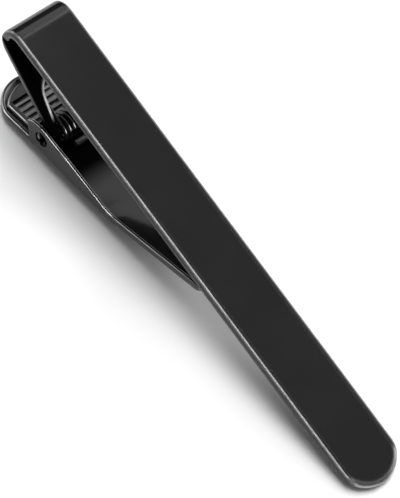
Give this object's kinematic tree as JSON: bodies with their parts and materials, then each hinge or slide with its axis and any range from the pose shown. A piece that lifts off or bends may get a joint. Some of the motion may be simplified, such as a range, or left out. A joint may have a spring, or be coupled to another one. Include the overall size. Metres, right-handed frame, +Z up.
{
  "type": "tie clip",
  "caption": "Pinch tie clip: a flat steel bar folded back on itself, with a sprung, toothed clasp arm hinged on the folded leg.",
  "frame": {"origin": "middle of the clip's box on the table that it lies on, under the bar", "axes": "+X along the clip from the fold to the round tip, +Y across the bar, +Z up with the bar's front face upwards"},
  "size_m": [0.0572, 0.0082, 0.0125],
  "materials": {
    "bar_finish": "satin black plating, lightly worn bright along its edges",
    "arm_finish": "glossy black plating on pressed sheet",
    "pin_finish": "black plated rivet, with a dark dish in each end",
    "spring_wire": "blackened spring wire"
  },
  "bodies": {
    "bar": {"folded_bar": "bar_finish", "torsion_spring": "spring_wire"},
    "arm": {"clasp_arm": "arm_finish", "hinge_pin": "pin_finish"}
  },
  "joints": [
    {"name": "clasp_hinge", "type": "hinge", "parent": "bar", "child": "arm", "pos_m": [-0.01973, 0, 0.00326], "axis": [0, 1, 0], "range_deg": [0, 40], "stiffness_Nm_per_rad": 0.03, "springref_deg": -85.94, "deforming": ["torsion_spring"]}
  ]
}
